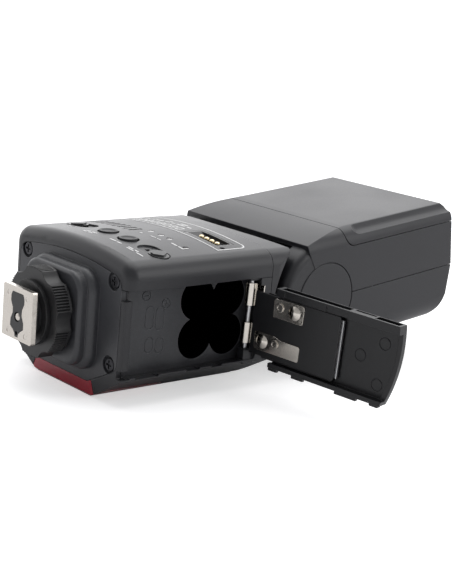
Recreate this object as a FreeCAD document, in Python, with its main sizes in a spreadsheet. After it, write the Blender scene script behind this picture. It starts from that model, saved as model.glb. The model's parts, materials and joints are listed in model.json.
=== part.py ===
import FreeCAD, Part
import math
import os

import Sketcher
from FreeCAD import Placement, Rotation, Vector

# Camera speedlight on a hot-shoe foot, with its battery door open and its head leaned
# towards +Z.
# Frame: +X runs from the foot towards the head, +Z out of the control panel, -Y is the
# battery-door side. X = 0 is the contact face of the foot. Millimetres and degrees.

os.makedirs("parts", exist_ok=True)
doc = FreeCAD.newDocument("speedlight")
sheet = doc.addObject("Spreadsheet::Sheet", "dims")

# ---------------------------------------------------------------- driving dimensions
TABLE = [
    # foot, disc and lock ring
    ("foot_half_w", 9.3), ("foot_half_l", 9.4), ("foot_thk", 2.0), ("stem_half_w", 6.1),
    ("disc_r", 11.6), ("disc_x", 4.45), ("disc_thk", 1.6),
    ("ring_r", 16.2), ("ring_x", 6.15), ("ring_len", 6.0), ("thread_r", 8.8),
    # end cap and casing
    ("plateau_x", 13.4), ("base_x", 20.6), ("base_thk", 2.2),
    ("half_w", 36.2), ("crown_edge", 22.8), ("crown_top", 26.3),
    ("side_low", 17.0), ("bottom_z", 28.0), ("bottom_half", 17.0),
    ("wall", 2.0), ("body_end", 85.4), ("split_z", 14.1), ("bevel", 4.4),
    # battery bay
    ("cell_x", 64.3), ("cell_z", -0.5), ("cell_half_pitch", 7.25), ("cell_bore_r", 7.8),
    ("cell_len", 52.8), ("bay_y", -28.8), ("seat_lo", -16.8), ("seat_hi", 14.0),
    # hinge and door
    ("hinge_x", 77.9), ("hinge_y", -33.4), ("hinge_pin_r", 0.8), ("knuckle_r", 1.9),
    ("door_open", 100.7), ("door_len", 57.8), ("door_out", 7.0), ("plate_len", 40.0),
    # control row
    ("row_x", 38.5), ("button_r", 3.4), ("well_r", 4.1),
    # tilt joint
    ("tilt_x", 114.5), ("tilt_z", 3.0), ("head_angle", 6.5),
    ("cheek_r", 22.6), ("cheek_in", 27.3), ("cheek_out", 36.3),
    ("barrel_r", 21.0), ("barrel_half", 27.0), ("cap_r", 14.2), ("axle_r", 5.0),
    # head
    ("head_half", 36.5), ("head_front", 185.9), ("head_top", 28.3), ("head_bottom", -19.6),
    ("head_wall", 2.0), ("lid_x", 125.2), ("lid_z", 21.6), ("hood_x", 105.6),
    ("hood_z", 25.4), ("seam", 0.3),
    # turning neck
    ("swivel_r", 13.0), ("neck_x", 85.75), ("neck_end", 91.2),
]


class Dim(float):
    """A number that remembers the sheet expression it comes from."""
    def __new__(cls, value, text):
        item = float.__new__(cls, value)
        item.text = text
        return item

    def __add__(self, other):
        return combine(self, "+", other, float(self) + float(other))

    def __radd__(self, other):
        return combine(other, "+", self, float(other) + float(self))

    def __sub__(self, other):
        return combine(self, "-", other, float(self) - float(other))

    def __rsub__(self, other):
        return combine(other, "-", self, float(other) - float(self))

    def __mul__(self, other):
        return combine(self, "*", other, float(self) * float(other))

    def __rmul__(self, other):
        return combine(other, "*", self, float(other) * float(self))

    def __truediv__(self, other):
        return combine(self, "/", other, float(self) / float(other))

    def __neg__(self):
        return Dim(-float(self), "(0 - %s)" % words(self))


def words(value):
    return value.text if isinstance(value, Dim) else repr(round(float(value), 6))


def combine(left, sign, right, value):
    return Dim(value, "(%s %s %s)" % (words(left), sign, words(right)))


class Dimensions:
    """Holds every sheet alias as a Dim attribute."""


dim = Dimensions()
for row, (alias, value) in enumerate(TABLE, start=1):
    sheet.set("A%d" % row, alias)
    sheet.set("B%d" % row, str(value))
    sheet.setAlias("B%d" % row, alias)
doc.recompute()
for alias, _ in TABLE:
    setattr(dim, alias, Dim(float(getattr(sheet, alias)), "dims." + alias))


def bind(obj, prop, value):
    if isinstance(value, Dim):
        obj.setExpression(prop, value.text)


# ---------------------------------------------------------------- primitives
TURN = {"X": Rotation(Vector(0, 1, 0), 90), "Y": Rotation(Vector(1, 0, 0), -90),
        "Z": Rotation()}


def fresh(kind, label=None):
    obj = doc.addObject(kind, label or "piece")
    if label:
        obj.Label = label
    return obj


def size(obj, **values):
    """Sets lengths and binds those that come from the sheet."""
    for prop, value in values.items():
        setattr(obj, prop, float(value))
        bind(obj, prop, value)


def place(obj, x, y, z, turn=TURN["Z"]):
    obj.Placement = Placement(Vector(float(x), float(y), float(z)), turn)
    for prop, value in (("x", x), ("y", y), ("z", z)):
        bind(obj, "Placement.Base." + prop, value)


def box(x0, x1, y0, y1, z0, z1, label=None):
    obj = fresh("Part::Box", label)
    size(obj, Length=x1 - x0, Width=y1 - y0, Height=z1 - z0)
    place(obj, x0, y0, z0)
    return obj


def cyl(axis, x, y, z, radius, length, label=None):
    obj = fresh("Part::Cylinder", label)
    size(obj, Radius=radius, Height=length)
    place(obj, x, y, z, TURN[axis])
    return obj


def cone(axis, x, y, z, radius0, radius1, length):
    obj = fresh("Part::Cone")
    size(obj, Radius1=radius0, Radius2=radius1, Height=length)
    place(obj, x, y, z, TURN[axis])
    return obj


def sphere(x, y, z, radius):
    obj = fresh("Part::Sphere")
    size(obj, Radius=radius)
    place(obj, x, y, z)
    return obj


def solid(shape, label=None):
    """A Part::Feature for a form that no primitive or sketch gives, such as a spring."""
    obj = fresh("Part::Feature", label)
    obj.Shape = shape
    return obj


def fuse(*objs, label=None):
    obj = fresh("Part::MultiFuse", label)
    obj.Shapes = list(objs)
    obj.Refine = True
    return obj


def cut(base, *tools, label=None):
    tool = tools[0] if len(tools) == 1 else fuse(*tools)
    obj = fresh("Part::Cut", label)
    obj.Base = base
    obj.Tool = tool
    obj.Refine = True
    return obj


def common(*objs, label=None):
    obj = fresh("Part::MultiCommon", label)
    obj.Shapes = list(objs)
    obj.Refine = True
    return obj


def fillet(base, radius, pick, label=None):
    """Rounds the edges of base for which pick(edge) is true."""
    doc.recompute()
    obj = fresh("Part::Fillet", label)
    obj.Base = base
    obj.Edges = [(number, radius, radius)
                 for number, edge in enumerate(base.Shape.Edges, start=1) if pick(edge)]
    return obj


def in_x_plane(x):
    """Edge picker: edges that lie wholly in the plane at x."""
    return lambda edge: (abs(edge.BoundBox.XMin - float(x)) < 1e-3
                         and abs(edge.BoundBox.XMax - float(x)) < 1e-3)


def is_circle(edge):
    return edge.Curve.TypeId == "Part::GeomCircle"


# ---------------------------------------------------------------- sketches
# A loop is a tuple (u, v, radius) for a circle, or a list of points for an outline. A point
# is (u, v), or (u, v, mid_u, mid_v) where the mid-point lies on the arc to the next point.
AXES = {"XY": (0, 1, 2), "XZ": (0, 2, 1), "YZ": (1, 2, 0)}    # u, v and the padding axis


def rectangle(u0, u1, v0, v1):
    return [(u0, v0), (u1, v0), (u1, v1), (u0, v1)]


def oblong(u, v0, v1, half, reach):
    """Straight sides from v0 to v1 at u - half and u + half; each end bows out by reach."""
    return [(u - half, v0, u, v0 - reach), (u + half, v0),
            (u + half, v1, u, v1 + reach), (u - half, v1)]


def mirrored(points):
    """Closes one half of an outline with its mirror image about u = 0."""
    return points + [(-u, v) for u, v in reversed(points)]


def origin_item(body, role):
    return next(item for item in body.Origin.OriginFeatures if item.Role == role)


def arc_through(start, middle, end):
    """Arc through three points, whether it runs counter-clockwise from start, its radius."""
    ax, ay, mx, my, bx, by = [float(v) for v in (*start, *middle, *end)]
    scale = 2 * (ax * (my - by) + mx * (by - ay) + bx * (ay - my))
    a_sq, m_sq, b_sq = ax * ax + ay * ay, mx * mx + my * my, bx * bx + by * by
    cx = (a_sq * (my - by) + m_sq * (by - ay) + b_sq * (ay - my)) / scale
    cy = (a_sq * (bx - mx) + m_sq * (ax - bx) + b_sq * (mx - ax)) / scale
    radius = math.hypot(ax - cx, ay - cy)
    at_start, at_middle, at_end = [math.atan2(y - cy, x - cx)
                                   for x, y in ((ax, ay), (mx, my), (bx, by))]
    turn = 2 * math.pi
    ccw = (at_middle - at_start) % turn < (at_end - at_start) % turn
    lo, hi = (at_start, at_end) if ccw else (at_end, at_start)
    while hi < lo:
        hi += turn
    ring = Part.Circle(Vector(cx, cy, 0), Vector(0, 0, 1), radius)
    return Part.ArcOfCircle(ring, lo, hi), ccw, radius


def constrain(sketch, value, kind, *where):
    index = sketch.addConstraint(Sketcher.Constraint(kind, *where, float(value)))
    bind(sketch, "Constraints[%d]" % index, value)


def outline(sketch, points):
    first = sketch.GeometryCount
    pairs = list(zip(points, points[1:] + points[:1]))
    ends, radii = [], []
    for start, end in pairs:
        ccw, radius = True, None
        if len(start) == 4:
            geometry, ccw, radius = arc_through(start[:2], start[2:], end[:2])
        else:
            geometry = Part.LineSegment(Vector(float(start[0]), float(start[1]), 0),
                                        Vector(float(end[0]), float(end[1]), 0))
        sketch.addGeometry(geometry, False)
        ends.append((1, 2) if ccw else (2, 1))
        radii.append(radius)
    for k in range(len(points)):
        j = (k + 1) % len(points)
        sketch.addConstraint(Sketcher.Constraint(
            "Coincident", first + k, ends[k][1], first + j, ends[j][0]))
    for k, (start, end) in enumerate(pairs):
        constrain(sketch, start[0], "DistanceX", first + k, ends[k][0])
        constrain(sketch, start[1], "DistanceY", first + k, ends[k][0])
        # the end points of a half circle already fix its radius
        if radii[k]:
            chord = math.hypot(float(start[0]) - float(end[0]), float(start[1]) - float(end[1]))
            if chord < 1.98 * radii[k]:
                constrain(sketch, radii[k], "Radius", first + k)


def circle(sketch, u, v, radius):
    centre = Vector(float(u), float(v), 0)
    index = sketch.addGeometry(Part.Circle(centre, Vector(0, 0, 1), float(radius)), False)
    constrain(sketch, radius, "Radius", index)
    constrain(sketch, u, "DistanceX", index, 3)
    constrain(sketch, v, "DistanceY", index, 3)


def sketched(kind, body, plane, lo, hi, loops):
    """Adds a pad or pocket of the loops between lo and hi along the plane's own axis."""
    offset = 0 - hi if plane == "XZ" else lo    # the XZ plane faces -Y
    sketch = body.newObject("Sketcher::SketchObject", "profile")
    sketch.AttachmentSupport = [(origin_item(body, plane + "_Plane"), "")]
    sketch.MapMode = "FlatFace"
    sketch.AttachmentOffset = Placement(Vector(0, 0, float(offset)), Rotation())
    bind(sketch, "AttachmentOffset.Base.z", offset)
    for loop in loops:
        if isinstance(loop, tuple):
            circle(sketch, *loop)
        else:
            outline(sketch, loop)
    feature = body.newObject("PartDesign::" + kind, kind.lower())
    feature.Profile = sketch
    size(feature, Length=hi - lo)
    sketch.Visibility = False
    return feature


def lengthwise_edges(shape, plane, corners):
    """Names of the straight edges along the padding axis that stand at the corners."""
    u, v, along = AXES[plane]
    names = []
    for number, edge in enumerate(shape.Edges, start=1):
        if len(edge.Vertexes) != 2 or edge.Curve.TypeId != "Part::GeomLine":
            continue
        start, end = [vertex.Point for vertex in edge.Vertexes]
        step = end - start
        if abs(abs(step[along]) - step.Length) > 1e-4:
            continue
        if any(math.hypot(start[u] - float(corner[0]), start[v] - float(corner[1])) < 0.05
               for corner in corners):
            names.append("Edge%d" % number)
    return names


def prism(plane, lo, hi, *loops, rounds=(), label=None):
    """PartDesign body: padded loops; rounds lists (radius, corners) of lengthwise edges."""
    body = fresh("PartDesign::Body", label)
    tip = sketched("Pad", body, plane, lo, hi, loops)
    for radius, corners in rounds:
        doc.recompute()
        names = lengthwise_edges(tip.Shape, plane, corners)
        rounding = body.newObject("PartDesign::Fillet", "round")
        rounding.Base = (tip, names)
        size(rounding, Radius=radius)
        tip = rounding
    body.Tip = tip
    return body


def rounded_bar(plane, lo, hi, points, radius, label=None):
    """Prism with all its lengthwise edges rounded alike."""
    return prism(plane, lo, hi, points, rounds=[(radius, points)], label=label)


def six_sided(lo, hi, points, top_r, side_r, low_r):
    """Bar along X: points run top pair, side, bottom pair, side, clockwise from -Y."""
    return prism("YZ", lo, hi, points, rounds=[
        (top_r, points[0:2]), (side_r, (points[2], points[5])), (low_r, points[3:5])])


def pocket(body, plane, lo, hi, *loops):
    """Cuts the loops out of a body, and stops if that removes nothing."""
    doc.recompute()
    before = body.Shape.Volume
    feature = sketched("Pocket", body, plane, lo, hi, loops)
    feature.Reversed = True
    body.Tip = feature
    doc.recompute()
    if body.Shape.Volume > before - 1e-6:
        raise RuntimeError("pocket in %s removes nothing" % body.Label)
    return feature


def polar(body, feature, occurrences):
    """Repeats a pocket about the X axis."""
    pattern = body.newObject("PartDesign::PolarPattern", "pattern")
    pattern.Originals = [feature]
    pattern.Axis = (origin_item(body, "X_Axis"), [""])
    pattern.Angle = 360
    pattern.Occurrences = occurrences
    body.Tip = pattern


# ---------------------------------------------------------------- placing the pieces
PARTS = []

# the head leans about the tilt axis; the door stands open about its hinge
PIVOT = Vector(float(dim.tilt_x), 0, float(dim.tilt_z))
HEAD = Placement(Vector(), Rotation(Vector(0, 1, 0), -float(dim.head_angle)), PIVOT)
HINGE = Vector(float(dim.hinge_x), float(dim.hinge_y), 0)
# leans a little, so the open door hangs lower at its free end
HINGE_AXIS = Vector(0.02, -0.0166, 1).normalize()
DOOR = Placement(Vector(), Rotation(HINGE_AXIS, float(dim.door_open)), HINGE)


def keep(obj):
    """Lists a finished piece for export."""
    PARTS.append(obj)


def in_head(obj):
    obj.Placement = HEAD
    keep(obj)


def in_door(obj):
    obj.Placement = DOOR
    keep(obj)


def hinge_cyl(z, radius, length, label=None):
    """Cylinder on the hinge axis, from height z."""
    obj = fresh("Part::Cylinder", label)
    size(obj, Radius=radius, Height=length)
    obj.Placement = Placement(HINGE + HINGE_AXIS * z, Rotation(Vector(0, 0, 1), HINGE_AXIS))
    return obj


def pivot_cyl(y0, y1, radius):
    """Cylinder on the tilt axis between y0 and y1."""
    return cyl("Y", dim.tilt_x, y0, dim.tilt_z, radius, y1 - y0)


def outboard(y, radius):
    """Two cylinders on the tilt axis, from y outwards on either side."""
    return [pivot_cyl(-60, -y, radius), pivot_cyl(y, 60, radius)]


# ---------------------------------------------------------------- special solids
def round_top(shape, radius, z):
    """Rounds the edges at height z."""
    # guards against a fillet that finds no edge or fails: the shape then stays sharp
    try:
        return shape.makeFillet(radius, [edge for edge in shape.Edges
                                         if abs(edge.BoundBox.ZMin - z) < 1e-6])
    except Exception:
        return shape


def screw(origin, direction, head_r, head_h, shank_r, length):
    """Pan-head screw with a cross recess; origin is the underside of the head."""
    head = round_top(Part.makeCylinder(head_r, head_h), head_h * 0.55, head_h)
    for width, depth in ((1.2, 0.3), (0.3, 1.2)):
        corner = Vector(-head_r * width / 2, -head_r * depth / 2, head_h * 0.45)
        head = head.cut(Part.makeBox(head_r * width, head_r * depth, head_h, corner))
    whole = head.fuse(Part.makeCylinder(shank_r, length, Vector(0, 0, -length)))
    whole.Placement = Placement(Vector(*origin), Rotation(Vector(0, 0, 1), Vector(*direction)))
    return whole


def spring(origin, direction, height, pitch, radius, wire_r, per_turn, taper=0.0):
    """Coil spring with flat facets: a hexagonal wire along a helix that narrows by taper."""
    steps = int(round(height / pitch * per_turn))
    up = Vector(0, 0, 1)
    rings = []
    for k in range(steps + 1):
        angle = 2 * math.pi * k / per_turn
        out = Vector(math.cos(angle), math.sin(angle), 0)
        centre = out * (radius - taper * k / steps) + up * (height * k / steps)
        rings.append([centre + out * (wire_r * math.cos(math.pi * j / 3))
                      + up * (wire_r * math.sin(math.pi * j / 3)) for j in range(6)])
    faces = []
    for low, high in zip(rings, rings[1:]):
        for j in range(6):
            i = (j + 1) % 6
            faces.append(Part.Face(Part.makePolygon([low[j], low[i], high[i], low[j]])))
            faces.append(Part.Face(Part.makePolygon([low[j], high[i], high[j], low[j]])))
    for ring in (rings[0], rings[-1]):
        faces.append(Part.Face(Part.makePolygon(ring + [ring[0]])))
    coil = Part.Solid(Part.Shell(faces))
    if coil.Volume < 0:
        coil.reverse()
    coil.Placement = Placement(Vector(*origin), Rotation(Vector(0, 0, 1), Vector(*direction)))
    return coil


# ---------------------------------------------------------------- casing section
base_x, body_end, half_w = dim.base_x, dim.body_end, dim.half_w
ARC_INSET = 1.289      # how far the mid-point of a 4.4 corner arc lies inside the corner


def section(gap):
    """Body outline in YZ: crowned top, straight sides, narrower bottom; gap moves it inwards."""
    width, top, edge = half_w - gap, dim.crown_top - gap, dim.crown_edge - gap
    low, bottom = dim.side_low - gap * 0.45, dim.bottom_z - gap
    half = dim.bottom_half - gap * 0.35
    return [(-width, edge, 0, top), (width, edge), (width, -low),
            (half, -bottom), (-half, -bottom), (-width, -low)]


def cap_block(lo, hi, gap):
    """Block of the end-cap outline, moved inwards by gap."""
    width, half = 31.6 - gap, 15.2 - gap * 0.3
    edge, low, bottom = 17.6 - gap, -14.6 + gap * 0.4, -23.0 + gap
    points = [(-width, edge, 0, 21.0 - gap), (width, edge), (width, low),
              (half, bottom), (-half, bottom), (-width, low)]
    return six_sided(lo, hi, points, 5.0, 4.0, 2.5)


# ---------------------------------------------------------------- casing, still in one piece
# outside: rounded foot end above z = -12, bevelled in plan and side view below it
outer = six_sided(base_x, body_end, section(0), 6.5, 5.0, 2.6)
plan_view = prism("XY", -40, 40, [
    (base_x, -(half_w - dim.bevel), base_x + ARC_INSET, -(half_w - ARC_INSET)),
    (base_x + dim.bevel, -(half_w + 0.02)), (body_end + 1, -(half_w + 0.02)),
    (body_end + 1, half_w + 0.02),
    (base_x + dim.bevel, half_w + 0.02, base_x + ARC_INSET, half_w - ARC_INSET),
    (base_x, half_w - dim.bevel)])
side_view = prism("XZ", -40, 40, [
    (base_x - 1, 30), (body_end + 1, 30), (body_end + 1, -30),
    (base_x + 2.2, -30), (base_x, -27.2), (base_x - 1, -27.2)])
outer_round = fillet(six_sided(base_x, body_end, section(0), 6.5, 5.0, 5.4), 4.4,
                     in_x_plane(base_x))
casing_outer = fuse(
    common(outer_round, box(0, 200, -60, 60, -12, 60)),
    common(outer, plan_view, side_view, box(0, 200, -60, 60, -60, -12)))

# hollow, tapered at the foot end
inner = six_sided(base_x - 1, body_end - 2.2, section(dim.wall), 4.6, 5.0, 2.6)
inner_w = half_w - dim.wall
inner_plan = prism("XY", -40, 40, [
    (base_x + 1.2, -31.0), (base_x + 6.0, -inner_w), (body_end, -inner_w),
    (body_end, inner_w), (base_x + 6.0, inner_w), (base_x + 1.2, 31.0)])
inner_side = prism("XZ", -40, 40, [
    (base_x + 1.2, 19.5), (base_x + 7.2, 24.4), (body_end, 24.4),
    (body_end, -26), (base_x + 5.0, -26), (base_x + 1.2, -23.0)])
cavity = common(inner, inner_plan, inner_side)
cap_hole = cap_block(base_x - 1, base_x + 6, 0)

# door opening, with notches under it for the door tabs
hinge_x, hinge_y = dim.hinge_x, dim.hinge_y
bay_y = dim.bay_y
TABS = ((12.8, 16.6), (23.2, 28.2), (42.0, 51.0))    # near and far end, from the hinge to -X
opening_lo, opening_hi = base_x + 3.1, hinge_x + 2.6
seat_edge = box(base_x - 3, opening_hi, -40, hinge_y - 0.6, dim.seat_lo, dim.seat_hi)
seat = fuse(seat_edge, box(opening_lo, opening_hi, -40, bay_y, dim.seat_lo, dim.seat_hi))
notches = [box(hinge_x - far - 0.6, hinge_x - near + 0.6, -40, -31.6, -17.7, -16.0)
           for near, far in TABS]
notches.append(box(base_x - 1, hinge_x - 3.0, -34.1, -31.6, -17.55, -16.0))
swivel_bore = cyl("X", body_end - 4, 0, 0, dim.swivel_r + 0.1, 8)
shell = cut(casing_outer, cavity, cap_hole, seat, swivel_bore, *notches)

# inward lip round the door opening, which closes the gap between wall and tray
lip_out = box(base_x + 2.3, hinge_x + 3.6, -34.6, bay_y - 0.05, -18.9, 15.4)
lip_in = box(opening_lo, opening_hi, -36, -28, -17.95, 14.0)
lip = cut(common(lip_out, casing_outer), lip_in, seat_edge)
ears = [box(hinge_x - 1.9, hinge_x + 3.0, y0, -31.2, z0, z1)
        for y0, z0, z1 in ((-35.2, 13.2, 14.6), (-34.7, -18.4, -12.6))]
rim_ways = [box(base_x - 1, base_x + 3.2, -40, -31.55, z0, z1)
            for z0, z1 in ((-17.3, -14.45), (10.25, 13.7))]
lipped_shell = cut(fuse(shell, lip, *ears), hinge_cyl(-16.6, dim.hinge_pin_r, 31.9), *rim_ways)


# ---------------------------------------------------------------- red window, front panel
def red_block(profile, x0, x1, flank, strip_x0, strip_x1, strip_top):
    """XZ profile within a flared block at the foot end and a strip along the bottom."""
    return common(
        prism("XZ", -40, 40, profile),
        fuse(prism("YZ", x0, x1, mirrored(flank)),
             box(strip_x0, strip_x1, -60, 60, -60, strip_top)))


# the window takes the lower corner of the foot end; its gap is slightly larger
red_zone = red_block(
    [(base_x - 2, -31), (50, -31), (50, -25.5), (34, -25.2), (28.5, -24.0),
     (26.2, -21.4), (25.0, -17.6), (base_x - 2, -17.3)],
    x0=base_x - 3, x1=27, flank=[(-15.9, -19.4), (-19.4, -27.2), (-19.4, -31)],
    strip_x0=24, strip_x1=60, strip_top=-25.0)
red_gap = red_block(
    [(base_x - 2.5, -32), (50.2, -32), (50.2, -25.3), (34.1, -25.0), (28.7, -23.8),
     (26.45, -21.25), (25.25, -17.4), (base_x - 2.5, -17.1)],
    x0=base_x - 3.5, x1=27.2, flank=[(-16.2, -19.1), (-19.75, -27.2), (-19.75, -32)],
    strip_x0=23.8, strip_x1=60.4, strip_top=-24.8)
keep(common(shell, red_zone, label="red_window"))

panel_gap = box(50.2, 66.2, -14.8, 14.8, -29.5, -25.0)
keep(fillet(box(50.4, 66.0, -14.6, 14.6, -29.3, -26.0), 0.9,
            lambda edge: abs(edge.BoundBox.ZMax + 29.3) < 1e-3, label="front_panel"))

# ---------------------------------------------------------------- back cover
row_x = dim.row_x
KEY_YS = (2.3, -9.8)                           # power key, test key
BAR_YS = [26.0 - 3.45 * k for k in range(8)]
LAMPS = [(54.6, -2.0), (54.4, -8.4), (54.2, -13.6), (53.4, -24.2)]    # x, y
SCREW_Y, SCREW_HIGH, SCREW_LOW = 26.9, 16.0, -13.6    # end-cap screws: half spread, two heights


def far_slope(y):
    """Height of the switch well floor on the +Y side."""
    return 24.69 - 0.0984 * (y - 18.5)


def near_slope(y):
    """Height of the switch well floor on the -Y side."""
    return 23.965 + 0.1324 * (y + 24.8)


def slab(y0, y1, slope, low, high):
    """Sloping slice between slope + low and slope + high over the control row."""
    return prism("YZ", row_x - 6, row_x + 6, [
        (y0, slope(y0) + low), (y1, slope(y1) + low),
        (y1, slope(y1) + high), (y0, slope(y0) + high)])


key_wells = [prism("XY", 20, 30, (row_x, y, dim.well_r)) for y in KEY_YS]
well_far = common(prism("XY", 22, 31, oblong(row_x, 15.0, 22.0, 4.0, 4.0)),
                  slab(9, 28, far_slope, 0, 5))
well_near = common(prism("XY", 22, 31, oblong(row_x, -28.0, -21.6, 4.0, 4.0)),
                   slab(-34, -15, near_slope, 0, 5))
switch_slots = [box(row_x - 0.9, row_x + 0.9, y0, y1, 20, 26)
                for y0, y1 in ((14.2, 22.8), (-29.4, -20.6))]
port_hole = box(66.4, 75.0, -25.6, -6.4, 20, 30)
pilot_hole = cyl("Z", 67.6, -27.6, 20, 1.0, 10)
bar_holes = [box(47.4, 53.4, y - 0.75, y + 0.75, 20, 30) for y in BAR_YS]
lamp_holes = [cyl("Z", x, y, 20, 1.3, 10) for x, y in LAMPS]

# a floor under each slide switch well closes it
far_floor = box(row_x - 4.6, row_x + 4.6, 10.4, 26.6, 21.6, 23.6)
near_floor = box(row_x - 4.6, row_x + 4.6, -31.6, -17.0, 21.0, 23.2)
back_half = common(lipped_shell, box(0, 120, -50, 50, dim.split_z + 0.1, 60))
screw_ribs = [common(box(base_x + 6.3, 31.6, y - 2.2, y + 2.2, 14.7, 22.6), cavity)
              for y in (-SCREW_Y, SCREW_Y)]
keep(cut(fuse(back_half, far_floor, near_floor, *screw_ribs),
         *[cyl("X", 20, y, SCREW_HIGH, 1.2, 14) for y in (-SCREW_Y, SCREW_Y)],
         *key_wells, well_far, well_near, *switch_slots, port_hole, pilot_hole,
         *bar_holes, *lamp_holes, label="back_cover"))

# ---------------------------------------------------------------- front cover
SYNC_X, SYNC_Z = 36.0, 3.0
front_half = common(lipped_shell, box(0, 120, -50, 50, -60, dim.split_z - 0.1))
low_rib = common(box(base_x + 6.3, 31.6, 24.4, 36, -15.9, -11.3), cavity)
keep(cut(fuse(front_half, low_rib), red_gap, panel_gap,
         cyl("Y", SYNC_X, 20, SYNC_Z, 4.55, 20),
         cyl("X", 20, SCREW_Y, SCREW_LOW, 1.2, 14), label="front_cover"))

# ---------------------------------------------------------------- end cap, raised plateau
SCREWS = [(y, z) for z in (SCREW_HIGH, SCREW_LOW) for y in (-SCREW_Y, SCREW_Y)]
skirt_x = dim.plateau_x + 3.4
cap_body = cap_block(base_x, base_x + dim.base_thk, 0.15)
plateau = fillet(
    rounded_bar("YZ", dim.plateau_x, base_x + 0.5, rectangle(-17.4, 17.4, -17.4, 16.6), 7.0),
    1.6, in_x_plane(dim.plateau_x))
skirt = fillet(
    rounded_bar("YZ", skirt_x, base_x + 0.5, rectangle(-19.6, 19.6, -19.0, 17.6), 8.0),
    2.6, in_x_plane(skirt_x))
# rim inside the casing, left open at the bottom
rim = cut(cap_block(base_x + 2.0, base_x + 6.0, 2.2),
          cap_block(base_x + dim.base_thk, base_x + 7.0, 3.6),
          box(0, 60, -60, -23.5, -60, 60))
keep(cut(fuse(cap_body, plateau, skirt, rim),
         cyl("X", dim.plateau_x - 1, 0, 0, 7.0, 14),
         *[cyl("X", base_x - 1, y, z, 3.3, 2.2) for y, z in SCREWS],
         *[cyl("X", base_x - 1, y, z, 1.25, 12) for y, z in SCREWS], label="base_plate"))

screw_seat_x = float(base_x) + 1.2
keep(solid(Part.makeCompound([
    screw((screw_seat_x, y, z), (-1, 0, 0), head_r=2.5, head_h=1.0, shank_r=1.15, length=9.0)
    for y, z in SCREWS]), "base_screws"))

# ---------------------------------------------------------------- foot
CONTACT_Z, PIN_Z = -1.2, -7.0      # centre contact and lock pin, both at y = 0
FOOT_DOTS = [(5.8, 6.5, 0.9), (-5.8, 6.5, 0.9), (5.4, -7.0, 0.9), (-5.4, -7.0, 0.9)]
# +Y half of the wavy edge round the insulator: y, z from top to bottom
WAVE = [(3.4, 7.5), (4.2, 6.0), (4.2, 4.0), (3.0, 1.9), (2.9, -0.2),
        (4.1, -2.6), (4.2, -5.0), (2.2, -6.2), (1.2, -7.2), (1.0, -8.4)]


def wave(gap):
    """The wavy outline, each point moved towards the centre by gap."""
    points = []
    for y, z in WAVE:
        reach = math.hypot(y, z)
        points.append((y * (reach - gap) / reach, z * (reach - gap) / reach))
    return mirrored(points)


foot_plate = rounded_bar(
    "YZ", 0, dim.foot_thk,
    rectangle(-dim.foot_half_w, dim.foot_half_w, -dim.foot_half_l, dim.foot_half_l),
    0.8, label="foot_plate")
pocket(foot_plate, "YZ", -1, 4, wave(0))
pocket(foot_plate, "YZ", -0.5, 0.12, *FOOT_DOTS)
keep(foot_plate)

insulator = prism("YZ", 0, dim.foot_thk - 0.05, wave(0.1), label="contact_insulator")
pocket(insulator, "YZ", -1, 4, (0, CONTACT_Z, 1.75), (0, PIN_Z, 0.7))
keep(insulator)

keep(fillet(prism("YZ", 0, 8.0, (0, CONTACT_Z, 1.65)), 1.0,
            lambda edge: abs(edge.BoundBox.XMax) < 1e-3, label="centre_contact"))
keep(cyl("X", 1.0, 0, PIN_Z, 0.6, 6.1, "lock_pin"))

# stem: a flat-sided neck, then a tube, a core and a wide flange inside the casing
stem_neck = prism("YZ", dim.foot_thk, dim.disc_x + 0.1, rectangle(
    -dim.stem_half_w, dim.stem_half_w, -dim.foot_half_l, dim.foot_half_l))
keep(cut(fuse(common(stem_neck, cyl("X", 1, 0, 0, 8.1, 6)),
              cyl("X", dim.disc_x + 0.05, 0, 0, 8.1, 8.85),
              cyl("X", 12.4, 0, 0, 6.9, 12.4),
              cyl("X", 23.7, 0, 0, 10.0, 1.6)),
         cyl("X", 0, 0, CONTACT_Z, 1.75, 10.5), cyl("X", 0, 0, PIN_Z, 0.7, 9.0),
         cyl("X", 10, 0, CONTACT_Z, 0.6, 3), cyl("X", 11.6, 0, 0, 3.2, 20),
         label="foot_stem"))
keep(prism("YZ", dim.disc_x, dim.disc_x + dim.disc_thk,
           (0, 0, dim.disc_r), (0, 0, dim.thread_r - 0.5), label="pressure_disc"))


# ---------------------------------------------------------------- lock ring
def notch(angle):
    """Small V groove in the rim of the ring at an angle in degrees."""
    points = []
    for radius, offset in ((15.55, 0.0), (16.8, -2.3), (16.8, 2.3)):
        turn = math.radians(angle + offset)
        points.append((radius * math.cos(turn), radius * math.sin(turn)))
    return points


ring_end = dim.ring_x + dim.ring_len
lock_ring = prism("YZ", dim.ring_x, ring_end, (0, 0, dim.ring_r), (0, 0, dim.thread_r),
                  label="lock_ring")
scallop = pocket(lock_ring, "YZ", dim.ring_x - 1, ring_end + 1, (21.0, 0, 6.2))
polar(lock_ring, scallop, 6)
grip = pocket(lock_ring, "YZ", dim.ring_x - 1, ring_end - 0.9,
              *[notch(30 + 3.75 * k) for k in range(-4, 5)])
polar(lock_ring, grip, 6)
keep(lock_ring)

# ---------------------------------------------------------------- battery box
cell_x, cell_z, half_pitch = dim.cell_x, dim.cell_z, dim.cell_half_pitch
bay_floor = bay_y + dim.cell_len
CELLS = [(cell_x + i * half_pitch, cell_z + j * half_pitch) for i in (-1, 1) for j in (-1, 1)]


def round_mark(x, z):
    """Engraved ring in the tray face."""
    return cut(cyl("Y", x, bay_y - 0.2, z, 1.9, 0.5), cyl("Y", x, bay_y - 0.3, z, 1.6, 1))


def cell_mark(x, z, half_w, half_h):
    """Engraved oblong line, 0.25 wide, in the tray face."""
    blocks = [prism("XZ", bay_y - 0.2, bay_y + 0.2,
                    oblong(x, z - half_h, z + half_h, half_w - inset, half_w - inset))
              for inset in (0, 0.25)]
    return cut(*blocks)


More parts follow.
